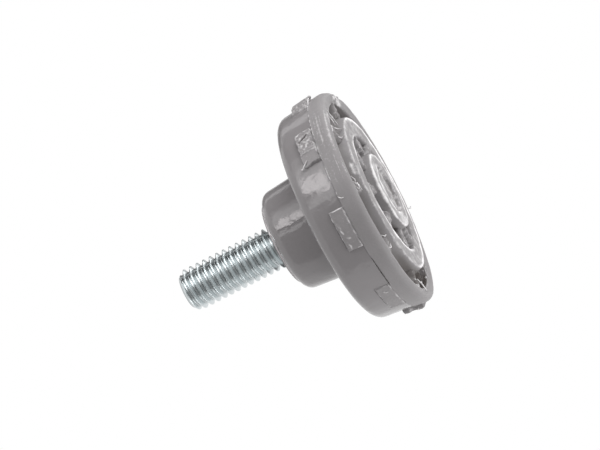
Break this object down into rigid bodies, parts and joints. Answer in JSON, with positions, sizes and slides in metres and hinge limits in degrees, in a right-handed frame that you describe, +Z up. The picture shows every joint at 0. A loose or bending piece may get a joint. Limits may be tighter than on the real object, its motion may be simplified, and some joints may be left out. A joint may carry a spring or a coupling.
{
  "type": "adjustable glide",
  "caption": "Levelling foot: a threaded steel stud fixed in a grey plastic hub and flange, over a softer round sole with concentric tread rings and side lugs.",
  "frame": {"origin": "middle of the sole's face, at the height of the surface that the glide stands on", "axes": "+Z up along the stud's axis, from the sole to the stud's tip"},
  "size_m": [0.0504, 0.0504, 0.0488],
  "materials": {
    "zinc_steel": "bright zinc plate",
    "base_plastic": "moulded gloss",
    "sole_rubber": "moulded matte"
  },
  "bodies": {
    "root": {"threaded_stud": "zinc_steel", "base": "base_plastic", "sole": "sole_rubber"}
  },
  "joints": []
}
